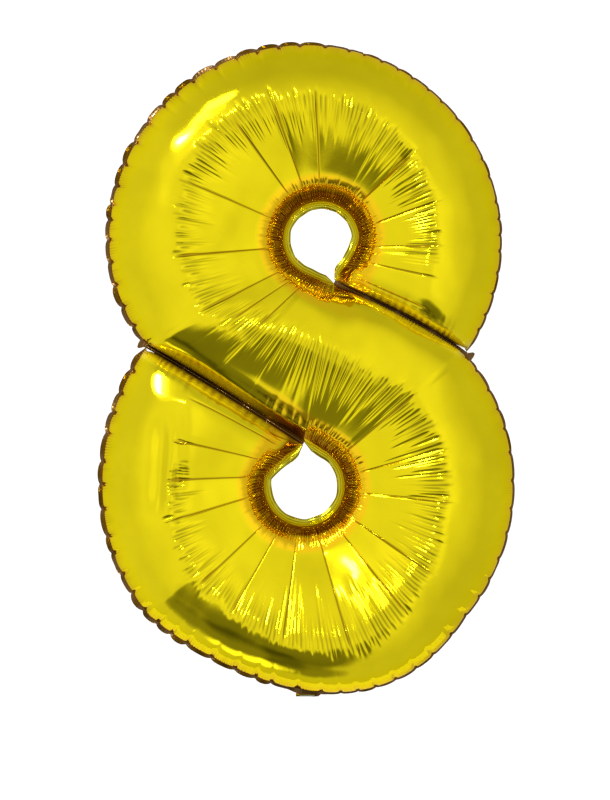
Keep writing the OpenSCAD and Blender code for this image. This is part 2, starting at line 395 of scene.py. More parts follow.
class Scallops:
    """Nicks along a sealed rim, between which the rim stands out and leans to the front or the rear."""

    def __init__(self, edge, first, last, seed, pitch):
        rng = np.random.default_rng(seed)
        self.u = np.linspace(first, last, 3000)
        self.points = edge(self.u)
        self.length = lengths(self.points)
        cuts = [0.0]
        while cuts[-1] < self.length[-1]:
            cuts.append(cuts[-1] + pitch * rng.uniform(0.75, 1.3))
        self.cuts = np.array(cuts) * self.length[-1] / cuts[-1]
        n = len(cuts)
        self.size = rng.uniform(0.6, 1.25, n)
        self.lean = rng.choice([-1.0, 1.0], n, p=[0.35, 0.65]) * rng.uniform(0.5, 1.2, n)

    def at(self, u):
        """For each u: number of the scallop and the place in it from 0 to 1."""
        along = np.interp(u, self.u, self.length)
        number = np.clip(np.searchsorted(self.cuts, along, side="right") - 1, 0, len(self.cuts) - 2)
        return number, (along - self.cuts[number]) / (self.cuts[number + 1] - self.cuts[number])

    def wave(self, u):
        """How far the weld line stands out, and how far it moves along Y, in mm."""
        number, part = self.at(u)
        hump = np.sin(math.pi * part)
        along = np.interp(u, self.u, self.length)
        x = np.interp(u, self.u, self.points[:, 0])
        free = ease(np.minimum(along, self.length[-1] - along) / 25) * mix(0.4, 1, ease((90 - x) / 200))
        out = SCALLOP_OUT * free * self.size[number] * (hump**0.6 - 0.6)
        return out, SCALLOP_ALONG_Y * free * self.lean[number] * hump


UPPER_RIM = Scallops(edge_b, 0.0, 1.0, 31, 27.0)
LOWER_RIM = Scallops(edge_a, 2.0, 3.0, 32, 29.0)


# ---------------------------------------------------------------- the films
# Long creases that run out from the holes, by their angle round the hole
UPPER_CREASES = (-38, -22, -6, 16, 42, 92, 110, 127, 158, 189, 214, 226, 238)
LOWER_CREASES = (-222, -203, -185, -167, -137, -120, -98, -74, -51, -34, -6, 15, 40)
# The fine pleats over the crest: where they end sharply, and where they fade out on the hole's side
UPPER_COMB_U = (0.00, 0.12, 0.25, 0.45, 0.62, 0.80, 1.00, 1.15, 1.40)
UPPER_COMB_SHARP = (0.50, 0.53, 0.55, 0.66, 0.68, 0.61, 0.60, 0.62, 0.62)
UPPER_COMB_FADE = (0.31, 0.31, 0.31, 0.38, 0.44, 0.455, 0.42, 0.42, 0.42)
LOWER_COMB_U = (1.05, 1.25, 1.50, 1.75, 2.00, 2.20, 2.45, 2.65, 2.85, 3.00)
LOWER_COMB_SHARP = (0.46, 0.42, 0.40, 0.41, 0.42, 0.41, 0.25, 0.35, 0.455, 0.48)
LOWER_COMB_FADE = (0.75, 0.80, 0.80, 0.70, 0.66, 0.62, 0.60, 0.56, 0.53, 0.53)
# Least and greatest depth of a fine pleat
COMB_DEPTH = (0.7, 2.4)
# The long creases and the facets between them, and the painted shade that darkens each crease
CREASE_DEPTH = 1.1
CREASE_HALF_WIDTH = 0.9
CREASE_PAINTED_SHADE = 0.75
FACET_FLATNESS = 1.15
FACET_TILT = 0.035
# The pleats where a funnel turns over to its shelf: how far apart, how deep there and down the funnel, and
# how far from the hole's edge they end
LEDGE_PITCH = 7.5
LEDGE_DEPTH = (0.5, 1.8)
FUNNEL_FOLD_DEPTH = (2.5, 5.5)
LEDGE_REACH = (27, 36)
# The puckers inside the rim, and the painted shade in their valleys there and at the stroke's closed ends
PUCKER_DEPTH = 0.8
PUCKER_PAINTED_SHADE = 0.55
END_PUCKER_PAINTED_SHADE = 0.4
# Two long folds down the lower left lobe: x at the low end, slope, low end, high end and depth
LOBE_FOLDS = ((-194, 0.05, 225, 385, 7.0), (-164, -0.02, 245, 395, 5.0))
LOBE_FOLD_WIDTH = 10.0
# A flat spot above them: where it is, how it slopes along x and z, how far out it reaches, how far it lies
# from the film's middle there, and the radius that it is bowed to, doubled
SPOT_X, SPOT_Z = -192.0, 399.0
SPOT_SLOPE_X, SPOT_SLOPE_Z = -0.277, 0.334
SPOT_RADIUS = 30.0
SPOT_CUT = 1.7
SPOT_BOW = 280.0
# How far from the weld line the film still follows the scallops, and the dent that each nick makes in it
WAVE_REACH = 9.0
NICK_DEPTH = 2.6
NICK_HALF_WIDTH = 2.2
NICK_REACH = 13.0
USUAL_SCALLOP = 27
# How far each side of a slit leans over it
RIGHT_LEAN_OVER = 2.6
LEFT_LEAN_OVER = 0.3
RIGHT_END_LEAN_OVER = 2.6
LEFT_END_LEAN_OVER = 0.6
# Slow and quicker unevenness: how high, and how wide
DRIFT_HIGH, DRIFT_WIDE = 0.9, 110
RUFFLE_HIGH, RUFFLE_WIDE = 0.12, 38
# Columns of the grid beside each long crease and at the stroke's ends, and how far others keep off them
CREASE_COLUMNS = (-1.5, -0.6, 0, 0.6, 1.5)
CLEAR_OF_CREASE = 2.1
END_COLUMNS = (0, 0.5, 1.2, 2.2)
CLEAR_OF_END = 2.8
# How far apart the rows of the grid are, in proportion, by their distance from an edge of the stroke
USUAL_WIDTH = 225
ROW_FROM_EDGE = (0, 10, 16, 36, 60, 200)
ROW_SPACING = (1.5, 1.7, 2.6, 3.0, 4.8, 4.8)


def crease_places(angles, centre, v, first, last):
    """Where along the stroke the line v has the given angles round a hole."""
    u = np.linspace(first, last, 1500)
    p = place(u, np.full_like(u, v))
    angle = np.degrees(np.unwrap(np.arctan2(p[:, 1] - centre[1], p[:, 0] - centre[0])))
    angle -= 360 * round((angle[0] - angles[0 if first < 1 else -1]) / 360)
    order = np.argsort(angle)
    return np.sort(np.interp(angles, angle[order], u[order]))


UPPER_MARKS = crease_places(UPPER_CREASES, UPPER_HOLE_C, 0.35, 0.0, 1.45)
LOWER_MARKS = crease_places(LOWER_CREASES, LOWER_HOLE_C, 0.65, 1.55, 3.0)


def uneven_cuts(rng, total, pitch, spread):
    """Positions along a length, about a pitch apart."""
    steps = rng.uniform(1 - spread, 1 + spread, int(round(total / pitch)))
    cuts = np.concatenate([[0], np.cumsum(steps)])
    return cuts * total / cuts[-1]


def furrows(s, cuts, depths, sharp=2.0):
    """Rounded humps between sharp valleys: depths has a row for each cut and a column for each v."""
    i = np.clip(np.searchsorted(cuts, s, side="right") - 1, 0, len(cuts) - 2)
    t = ((s - cuts[i]) / (cuts[i + 1] - cuts[i]))[:, None]
    return -(depths[i] * (1 - t) ** sharp + depths[i + 1] * t**sharp)


def soft_noise(rng, x, z, waves, size):
    """A smooth random field of about unit height with features of the given size in mm."""
    total = np.zeros_like(x)
    for _ in range(waves):
        a, phase = rng.uniform(0, 2 * math.pi, 2)
        k = 2 * math.pi / (size * rng.uniform(0.7, 1.5))
        total += np.sin(k * (x * math.cos(a) + z * math.sin(a)) + phase)
    return total / math.sqrt(waves)


def row_places(rows):
    """Shares across the stroke, close together at the edges, where the film is steep and puckered."""
    v = np.linspace(0, 1, 2001)
    from_edge = np.minimum(v, 1 - v) * USUAL_WIDTH
    density = 1 / np.interp(from_edge, ROW_FROM_EDGE, ROW_SPACING)
    total = np.concatenate([[0], np.cumsum((density[1:] + density[:-1]) / 2)])
    return np.interp(np.linspace(0, total[-1], rows + 1), total, v)


class Film:
    """One film on a grid of u by v, bulging towards -Y, built up from its smooth profile in layers."""

    def __init__(self, seed, pitch, rows):
        self.rng = np.random.default_rng(seed)
        self.cuts = uneven_cuts(self.rng, REF_S[-1], pitch, 0.28)
        s = (self.cuts[:-1, None] + np.diff(self.cuts)[:, None] * np.arange(4) / 4).ravel()
        zig = np.tile([-1.0, 1.0, -1.0, 1.0], len(self.cuts) - 1)
        marks = np.interp(np.concatenate([UPPER_MARKS, LOWER_MARKS]), REF_U, REF_S)
        near = np.abs(s[:, None] - marks[None, :]).min(axis=1)
        extra = (marks[:, None] + np.array(CREASE_COLUMNS)).ravel()
        extra = np.concatenate([extra, END_COLUMNS, REF_S[-1] - np.array(END_COLUMNS)])
        keep = (near > CLEAR_OF_CREASE) & (s > CLEAR_OF_END) & (s < REF_S[-1] - CLEAR_OF_END)
        places = np.concatenate([s[keep], extra])
        order = np.argsort(places)
        self.zig = np.concatenate([zig[keep], np.zeros(len(extra))])[order]
        self.along = places[order]
        self.column_u, self.row_v = np.interp(self.along, REF_S, REF_U), row_places(rows)
        self.u, self.v = np.meshgrid(self.column_u, self.row_v, indexing="ij")
        flat = place(self.u, self.v)
        self.x, self.z = flat[..., 0], flat[..., 1]
        self.width = np.linalg.norm(edge_b(self.column_u) - edge_a(self.column_u), axis=-1)[:, None]
        self.from_a, self.from_b = self.v * self.width, (1 - self.v) * self.width
        self.from_edge = np.minimum(self.from_a, self.from_b)
        self.from_end = np.minimum(self.along, REF_S[-1] - self.along)[:, None]
        self.closed = closing(self.u, self.v)
        self.crest = crest_share(self.column_u)[:, None]
        self.painted_brown_shade = np.zeros_like(self.u)
        self.shade = np.zeros_like(self.u)
        self.points = np.stack([self.x, -height(self.u, self.v, self.width), self.z], axis=-1)

    def outward(self):
        """The film's normals, all turned to the side of -Y."""
        normals = grid_normals(self.points)
        return normals * np.where(normals[..., 1:2] > 0, -1, 1)

    def push(self, amount):
        """Moves the film out along its own normals, but holds it at the welds."""
        hold = ease(self.from_edge / 4) * ease(self.from_end / 5)
        self.points += self.outward() * (amount * hold)[..., None]

    def funnels(self):
        """For each hole, how far the film is from its edge and how much of a funnel it forms there."""
        return (self.from_a, by_upper_hole(self.u)), (self.from_b, by_lower_funnel(self.u))

    def facets(self):
        """Flat facets between the long creases round each hole."""
        total = np.zeros_like(self.u)
        by_upper = 1 - ease((self.u - UPPER_MARKS[-1]) / 0.06)
        by_lower = ease((self.u - LOWER_MARKS[0] + 0.06) / 0.06)
        for marks, centre, across, share, crest, weight in (
                (UPPER_MARKS, UPPER_HOLE_C, 0.4, self.v, self.crest, by_upper),
                (LOWER_MARKS, LOWER_HOLE_C, 0.6, 1 - self.v, 1 - self.crest, by_lower)):
            i = np.clip(np.searchsorted(marks, self.column_u, side="right") - 1, 0, len(marks) - 2)
            middle = place((marks[:-1] + marks[1:]) / 2, np.full(len(marks) - 1, across))
            toward = unit(middle - centre)[i]
            tilt = self.rng.normal(0, FACET_TILT, len(marks) - 1)[i][:, None]
            dx, dz = self.x - centre[0], self.z - centre[1]
            along = dx * toward[:, None, 0] + dz * toward[:, None, 1]
            sideways = dz * toward[:, None, 0] - dx * toward[:, None, 1]
            planar = SHELF_SLOPE * FACET_FLATNESS * (along - np.hypot(dx, dz)) + tilt * sideways
            mark_s = np.interp(marks, REF_U, REF_S)
            gap = np.abs(self.along[:, None] - mark_s[None, :]).min(axis=1)[:, None]
            groove = CREASE_DEPTH * np.exp(-((gap / CREASE_HALF_WIDTH) ** 2))
            d = share * self.width
            over = (share - crest) * self.width
            env = ease((d - 12) / 18) * (1 - ease((over + 8) / 26)) * weight
            groove = groove * weight * ease((d - 16) / 20) * (1 - ease((over + 4) / 20))
            total += env * planar - groove
            # Painted shade: each crease is darkened to brown along its groove
            self.painted_brown_shade += CREASE_PAINTED_SHADE * groove
        self.push(total * ease((self.closed - 0.3) / 0.5))

    def comb(self):
        """Fine pleats over the crest, with ragged ends, and painted shade in their valleys."""
        count = len(self.cuts)
        u = np.interp(self.cuts, REF_S, REF_U)
        depths = np.zeros((count, len(self.row_v)))
        dark = np.zeros((count, len(self.row_v)))
        right = 0.72 + 0.28 * ease((np.interp(self.cuts, REF_S, REF_P[:, 0]) - 20) / 60)
        by_upper = ease((u - UPPER_MARKS[1]) / 0.05) * (1 - ease((u - 1.15) / 0.2))
        by_lower = ease((u - 1.08) / 0.15) * (1 - ease((u - LOWER_MARKS[-3]) / 0.04))
        for knots, sharp_at, fade_at, weight in (
                (UPPER_COMB_U, UPPER_COMB_SHARP, UPPER_COMB_FADE, by_upper),
                (LOWER_COMB_U, LOWER_COMB_SHARP, LOWER_COMB_FADE, by_lower)):
            sharp = np.interp(u, knots, sharp_at) + self.rng.normal(0, 0.016, count)
            fade_out = np.interp(u, knots, fade_at) + self.rng.normal(0, 0.035, count)
            run = (fade_out - sharp) * np.where(self.rng.random(count) < 0.2, 1.35, 1.0)
            side = 1 if knots[0] > 1 else -1
            run = side * np.maximum(0.05, side * run)
            # 0 at a pleat's sharp end, 1 where it has faded out
            way = (self.row_v[None, :] - sharp[:, None]) / run[:, None]
            env = ease((way + 0.08) / 0.14) * (1 - ease((way - 0.35) / 0.65))
            depths += (self.rng.uniform(*COMB_DEPTH, count) * weight)[:, None] * env
            strong = self.rng.uniform(0.2, 1.0, count) * weight * right
            dark += strong[:, None] * ease((way + 0.06) / 0.1) * (1 - ease((way - 0.2) / 0.45))
        away_from_ends = ease((self.closed - 0.5) / 0.4)
        # Painted shade: dark olive strokes along the pleats' valleys, strongest near their sharp ends and on
        # the right
        strokes = -furrows(self.along, self.cuts, dark, 4.0) * 1.1
        self.shade += np.clip(strokes, 0, 1) * away_from_ends
        self.push(furrows(self.along, self.cuts, depths) * away_from_ends)

    def ledge(self):
        """Short pleats where each hole's funnel turns over to its shelf, and finer ones down the funnel."""
        cuts = uneven_cuts(self.rng, REF_S[-1], LEDGE_PITCH, 0.35)
        count = len(cuts)
        u = np.interp(cuts, REF_S, REF_U)
        width = np.interp(u, self.column_u, self.width[:, 0])[:, None]
        depth = self.rng.uniform(*LEDGE_DEPTH, count)[:, None]
        fold = self.rng.uniform(*FUNNEL_FOLD_DEPTH, count)[:, None]
        reach = self.rng.uniform(*LEDGE_REACH, count)[:, None]
        calm = 1 - 0.85 * np.exp(-(((u - 1.5) / 0.1) ** 2))
        fold *= (calm * ease((u - 0.03) / 0.08) * ease((2.97 - u) / 0.08))[:, None]
        total = np.zeros_like(self.u)
        for weight, d in ((by_upper_hole(u)[:, None], self.row_v[None, :] * width),
                          (by_lower_funnel(u)[:, None], (1 - self.row_v[None, :]) * width)):
            top = ease((d - 14) / 5) * (1 - ease((d - reach + 8) / 8))
            funnel = ease((d - 3) / 5) * (1 - ease((d - 15) / 9))
            total += furrows(self.along, cuts, (depth * top + fold * funnel) * weight)
        self.push(total)

    def rim_puckers(self):
        """Short fine puckers just inside the rim and beside the slits."""
        amount = 0.5 + 0.5 * np.interp(self.along, self.cuts, self.rng.uniform(-1, 1, len(self.cuts)))
        left = 0.35 + 0.65 * ease((80 - self.x) / 160)
        rough = np.interp(self.along, self.cuts, self.rng.uniform(0.2, 1.6, len(self.cuts)))[:, None]
        left = np.maximum(left, rough * ease((self.u - 1) / 0.05) * ease((2 - self.u) / 0.05))
        total = np.zeros_like(self.u)
        for d, weight in ((self.from_a, 1 - by_upper_hole(self.u)),
                          (self.from_b, 1 - by_lower_hole(self.u))):
            reach = 9 + 10 * amount[:, None]
            env = amount[:, None] * ease(d / 3) * (1 - ease(d / reach)) * weight
            total += self.zig[:, None] * env
            # Painted shade: the valleys of the puckers inside the rim are darkened to brown
            self.painted_brown_shade += PUCKER_PAINTED_SHADE * left * env * (self.zig < 0)[:, None]
        row_zig = np.where(np.arange(len(self.row_v)) % 2 == 0, -1.0, 1.0)[None, :]
        uneven = self.rng.uniform(0.5, 1.6, len(self.row_v))[None, :]
        uneven = uneven * ease((self.from_edge - 22) / 25) + 0.001
        env = uneven * ease(self.from_end / 4) * (1 - ease((self.from_end - 2) / (18 * uneven)))
        # Painted shade: the valleys of the puckers at the closed ends are darkened to brown
        self.painted_brown_shade += END_PUCKER_PAINTED_SHADE * env * (row_zig < 0)
        self.push(PUCKER_DEPTH * (left * total + row_zig * env))

    def rim_wave(self):
        """The weld line's own scallops, which both films share, with a nick between two scallops."""
        for rim, d, first, last, edge, side in ((UPPER_RIM, self.from_b, 0.0, 1.0, edge_b, -1),
                                                (LOWER_RIM, self.from_a, 2.0, 3.0, edge_a, 1)):
            here = ((self.column_u >= first) & (self.column_u <= last))[:, None]
            out, y = rim.wave(self.column_u)
            outwards = side * left_of(unit(np.gradient(edge(self.column_u), axis=0)))
            _, part = rim.at(self.column_u)
            from_nick = np.minimum(part, 1 - part) * USUAL_SCALLOP
            nick = NICK_DEPTH * np.exp(-((from_nick / NICK_HALF_WIDTH) ** 2))[:, None]
            move = np.stack([outwards[:, 0] * out, y, outwards[:, 1] * out], axis=-1)[:, None, :]
            self.points += (np.exp(-d / WAVE_REACH) * here)[..., None] * move
            dent = nick * ease(d / 2) * np.exp(-((d / NICK_REACH) ** 2)) * here
            self.points -= self.outward() * dent[..., None]

    def close_slits(self):
        """Beside the slits the two lobes lean over the weld until they almost touch."""
        across = unit(edge_b(self.column_u) - edge_a(self.column_u))[:, None, :]
        flat = np.stack([self.x, self.z], axis=-1)
        along = unit(np.gradient(flat, self.along, axis=0))
        from_start, from_stop = self.along[:, None], REF_S[-1] - self.along[:, None]

        def over(d, amount):
            return amount * ease(d / 3) * (1 - ease((d - 5) / 12))

        on_right = ease((self.u - 1.5) / 0.06) * ease((2 - self.u) / 0.05)
        on_left = ease((self.u - 1) / 0.05) * ease((1.5 - self.u) / 0.06)
        ends = ease(self.v / 0.08) * ease((1 - self.v) / 0.08)
        shift = (-(over(self.from_a, RIGHT_LEAN_OVER) * on_right)[..., None] * across
                 + (over(self.from_b, LEFT_LEAN_OVER) * on_left)[..., None] * across
                 - (over(from_start, RIGHT_END_LEAN_OVER) * ends)[..., None] * along
                 + (over(from_stop, LEFT_END_LEAN_OVER) * ends)[..., None] * along)
        self.points[..., 0] += shift[..., 0]
        self.points[..., 2] += shift[..., 1]

    def lobe_folds(self):
        """Two long soft folds down the lower left lobe."""
        for x, slope, low, high, depth in LOBE_FOLDS:
            off = (self.x - x - slope * (self.z - low)) / LOBE_FOLD_WIDTH
            reach = ease((self.z - low) / 50) * (1 - ease((self.z - high + 50) / 50))
            self.push(-depth * np.exp(-(off**2)) * reach * (self.u > 2.5))

    def flat_spot(self):
        """A small flat dent near the top of the lower left lobe, which catches the light."""
        dx, dz = self.x - SPOT_X, self.z - SPOT_Z
        off = np.hypot(dx, dz) / SPOT_RADIUS
        off[self.u < 2.6] = np.inf
        middle = self.points[..., 1].ravel()[np.argmin(off)]
        flat = middle + SPOT_CUT + SPOT_SLOPE_X * dx + SPOT_SLOPE_Z * dz + dx**2 / SPOT_BOW
        cut = -soft_min(-self.points[..., 1], -flat, 1.2)
        self.points[..., 1] = mix(self.points[..., 1], cut, 1 - ease((off - 1) / 0.6))

    def drift(self):
        """Slow unevenness of the whole film."""
        free = ease(self.from_edge / 50) * ease((self.closed - 0.3) / 0.6)
        wide = soft_noise(self.rng, self.x, self.z, 7, DRIFT_WIDE)
        small = soft_noise(self.rng, self.x, self.z, 9, RUFFLE_WIDE)
        self.push(free * (DRIFT_HIGH * wide + RUFFLE_HIGH * small))


def mirror_wave(film):
    """The rear film meets the front one along the weld, so its rim moves the same way along Y."""
    for rim, d, first, last in ((UPPER_RIM, film.from_b, 0.0, 1.0), (LOWER_RIM, film.from_a, 2.0, 3.0)):
        here = (film.column_u >= first) & (film.column_u <= last)
        _, y = rim.wave(film.column_u)
        film.points[..., 1] += 2 * y[:, None] * np.exp(-d / WAVE_REACH) * here[:, None]


def painted_brown_shade_mask(film):
    """Painted brown shade, from 0 to 1: most in the funnels and beside the slits."""
    total = np.zeros_like(film.u)
    beside_slits = (film.u > 1.4) & (film.u < 2), (film.u > 1) & (film.u < 1.6)
    for (d, hole), slit_side in zip(film.funnels(), beside_slits):
        total += 1.1 * hole * ease((d - 1) / 4) * (1 - ease((d - 10) / 9))
        total += 0.5 * slit_side * (1 - hole) * (1 - ease((d - 2) / 6))
    return np.clip(total + 0.5 * (1 - ease((film.from_end - 2) / 6)) + film.painted_brown_shade, 0, 1)


def dulled(film):
    """Where the film is crumpled so finely that it no longer mirrors: down in the slits."""
    total = np.zeros_like(film.u)
    for d, here in ((film.from_a, ease((film.u - 1.55) / 0.1) * ease((2 - film.u) / 0.04)),
                    (film.from_b, ease((film.u - 1) / 0.04) * ease((1.45 - film.u) / 0.1))):
        total += here * (1 - ease((d - 4) / 10))
    return np.clip(total + 1 - ease((film.from_end - 4) / 10), 0, 1)


def painted_sheen_mask(film):
    """Painted sheen: a brighter orange on the rounded shoulder between a funnel and its shelf."""
    total = np.zeros_like(film.u)
    for d, hole in film.funnels():
        total += 0.85 * hole * ease((d - 14) / 5) * (1 - ease((d - 34) / 5))
    return total


def make_film(name, side, seed, pitch, rows):
    """The front film for side -1, the rear film for side 1."""
    film = Film(seed, pitch, rows)
    film.drift()
    film.facets()
    film.ledge()
    film.comb()
    film.rim_puckers()
    film.lobe_folds()
    film.flat_spot()
    film.rim_wave()
    film.close_slits()
    if side > 0:
        film.points[..., 1] *= -1
        mirror_wave(film)
    obj = sheet_mesh(name, film.points, side < 0)
    for label, values in (("painted_brown_shade", painted_brown_shade_mask(film)), ("shade", film.shade),
                          ("painted_sheen", painted_sheen_mask(film)), ("dull", dulled(film))):
        layer = obj.data.attributes.new(label, "FLOAT", "POINT")
        layer.data.foreach_set("value", values.ravel().astype(np.float32))
    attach(obj, "balloon")
    return obj


front = make_film("front_foil", -1, 8, 4.3, 60)
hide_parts("front_film")
rear = make_film("rear_foil", 1, 9, 7.0, 54)
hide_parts("rear_film")


# ---------------------------------------------------------------- the welds
FLANGE_T = 0.35
RIM_TILT_DEG = 38
# How much wider the rim is at the foot, where the neck joins it, and half the width of that place
FOOT_TAB = 4.5
FOOT_TAB_REACH = 19.0
# The web at a waist: how far past the slit's end, and how many slit widths across
WEB_AHEAD = (1.0, 2.5, 4.0, 5.5, 7.5, 9.0, 9.8)
WEB_SPREAD = (1.2, 1.7, 2.3, 2.8, 3.0, 2.4, 0.8)


def rim_flange(name, rim, edge, side, seed):
    """The sealed rim outside the weld line: a thin scalloped ribbon."""
    rng = np.random.default_rng(seed)
    total = rim.length[-1]
    along = np.linspace(0, total, int(total / 1.6))
    u = np.interp(along, rim.length, rim.u)
    path = edge(u)
    outwards = side * left_of(unit(np.gradient(path, axis=0)))
    out, y = rim.wave(u)
    number, part = rim.at(u)
    hump = np.sin(math.pi * part) ** 0.5
    ends = np.minimum(1, np.minimum(along, total - along) / 16)
    width = 0.75 * RIM_W * (0.5 + 0.5 * hump * rim.size[number].clip(0.8, 1.1)) * (0.3 + 0.7 * ends)
    width = width * mix(0.5, 1, ease((90 - path[:, 0]) / 220))
    at_foot = np.exp(-((path[:, 0] / FOOT_TAB_REACH) ** 4)) * (path[:, 1] < 100)
    width = width + FOOT_TAB * at_foot
    tilt = np.radians(RIM_TILT_DEG) * rim.lean[number] * np.sin(math.pi * part)
    flutter = 0.35 * np.sin(2 * math.pi * along / 4.6 + 1.5 * np.sin(along / 17))
    flutter = flutter * rng.uniform(0.7, 1.3, len(along))
    grid = []
    for k in np.linspace(-0.08, 1, 7):
        curl = tilt * (0.6 + 0.4 * k)
        reach = out + width * k * np.cos(curl)
        lift = y + width * k * np.sin(curl) + flutter * max(k, 0)
        x, z = path[:, 0] + outwards[:, 0] * reach, path[:, 1] + outwards[:, 1] * reach
        grid.append(np.stack([x, lift, z], axis=-1))
    return shell_mesh(name, np.stack(grid, axis=1), FLANGE_T)


def hole_flange(name, edge, first, last, side, seed):
    """The sealed edge of a hole: a smooth ring that rolls towards the front."""
    rng = np.random.default_rng(seed)
    u = np.linspace(first, last, 360)
    path = edge(u)
    along = lengths(path)
    inwards = side * left_of(unit(np.gradient(path, axis=0)))
    width = HOLE_RIM_W * np.minimum(1, 0.15 + np.minimum(along, along[-1] - along) / 16)
    width = width * (1 + 0.08 * soft_noise(rng, along, along, 6, 40))
    roll = 2.4 + 0.5 * soft_noise(rng, along, along, 6, 24)
    grid = []
    for k in np.linspace(0, 1, 9):
        lift = -roll * width / HOLE_RIM_W * math.sin(math.pi * min(1, 0.12 + 0.88 * k))
        x, z = path[:, 0] + inwards[:, 0] * width * k, path[:, 1] + inwards[:, 1] * width * k
        grid.append(np.stack([x, lift, z], axis=-1))
    return shell_mesh(name, np.stack(grid, axis=1), FLANGE_T)


def slit_flange(name, slit_line, notch, seed, stand):
    """The weld of a slit, which buckles in segments at the bottom of its valley, and its web at the waist."""
    rng = np.random.default_rng(seed)
    t = np.linspace(notch, 1, 190)
    path = slit_line(t)
    along = lengths(path)
    across = unit(left_of(np.gradient(path, axis=0)))
    cuts = uneven_cuts(rng, along[-1], 46, 0.3)
    segment = np.clip(np.searchsorted(cuts, along, side="right") - 1, 0, len(cuts) - 2)
    hump = np.sin(math.pi * (along - cuts[segment]) / (cuts[segment + 1] - cuts[segment])) ** 0.7
    ripple = 0.3 * np.sin(2 * math.pi * along / 4.2 + np.sin(along / 11))
    ahead = unit(path[-1] - path[-2])
    web, spread = np.array(WEB_AHEAD), np.array(WEB_SPREAD)
    corner = path[-1] + web[:, None] * ahead + (1 - spread[:, None]) * SLIT_W / 2 * across[-1]
    path = np.concatenate([path, corner])
    across = np.concatenate([across, np.repeat(across[-1:], len(web), axis=0)])
    wide = np.concatenate([np.ones(len(along)), spread])
    rise = np.concatenate([stand * hump + ripple, 0.6 * np.sin(web)])
    grid = []
    for k in np.linspace(0, 1, 9):
        points = path + (SLIT_W * wide * k)[:, None] * across
        grid.append(np.stack([points[:, 0], -rise * math.sin(math.pi * k), points[:, 1]], axis=-1))
    return shell_mesh(name, np.stack(grid, axis=1), FLANGE_T)


def weld_piece(obj, node):
    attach(obj, "balloon")
    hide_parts(node)
    return obj


welds = [
    weld_piece(rim_flange("upper_rim_flange", UPPER_RIM, edge_b, -1, 41), "upper_rim_weld"),
    weld_piece(rim_flange("lower_rim_flange", LOWER_RIM, edge_a, 1, 42), "lower_rim_weld"),
    weld_piece(slit_flange("right_slit_flange", right_slit, RIGHT_NOTCH, 45, 1.0), "right_slit_weld"),
    weld_piece(slit_flange("left_slit_flange", left_slit, LEFT_NOTCH, 46, 8.0), "left_slit_weld"),
]
rings = [
    weld_piece(hole_flange("upper_hole_flange", edge_a, 0.0, 1.5, 1, 43), "upper_hole_weld"),
    weld_piece(hole_flange("lower_hole_flange", edge_b, 1.5, 3.0, -1, 44), "lower_hole_weld"),
]


# ---------------------------------------------------------------- materials
# Painted shade: the brown painted into the funnels, the slits, the closed ends, the creases and the puckers'
# valleys
PAINTED_SHADE_BROWN = (0.30, 0.145, 0.004)
# Painted sheen: the bright orange painted on the shoulders round the holes, for the light they reflect
PAINTED_SHEEN = (0.93, 0.57, 0.008)
# Painted shade: the dark olive painted into the valleys of the fine pleats
SHADED = (0.13, 0.11, 0.003)
# Metallic where the film is crumpled too finely to mirror
DULL_METAL = 0.4
CLOUD_SCALE = 14.0
CRINKLE_SCALE = 130.0
RIPPLE_SCALE = 90.0


def new_material(name):
    """A material, and its nodes, links and shader."""
    material = bpy.data.materials.new(name)
    material.use_nodes = True
    nodes, links = material.node_tree.nodes, material.node_tree.links
    return material, nodes, links, nodes["Principled BSDF"]


def noise(nodes, scale, detail):
    node = nodes.new("ShaderNodeTexNoise")
    node.inputs["Scale"].default_value = scale
    node.inputs["Detail"].default_value = detail
    return node


def map_to(nodes, links, source, low, high, target):
    """Sends a value from 0 to 1 to a socket as a value from low to high."""
    node = nodes.new("ShaderNodeMapRange")
    node.inputs["To Min"].default_value = low
    node.inputs["To Max"].default_value = high
    links.new(source, node.inputs["Value"])
    links.new(node.outputs["Result"], target)


def bump_from(nodes, links, source, distance, target):
    node = nodes.new("ShaderNodeBump")
    node.inputs["Distance"].default_value = distance
    links.new(source, node.inputs["Height"])
    links.new(node.outputs["Normal"], target)


def attribute(nodes, name):
    node = nodes.new("ShaderNodeAttribute")
    node.attribute_name = name
    return node.outputs["Fac"]


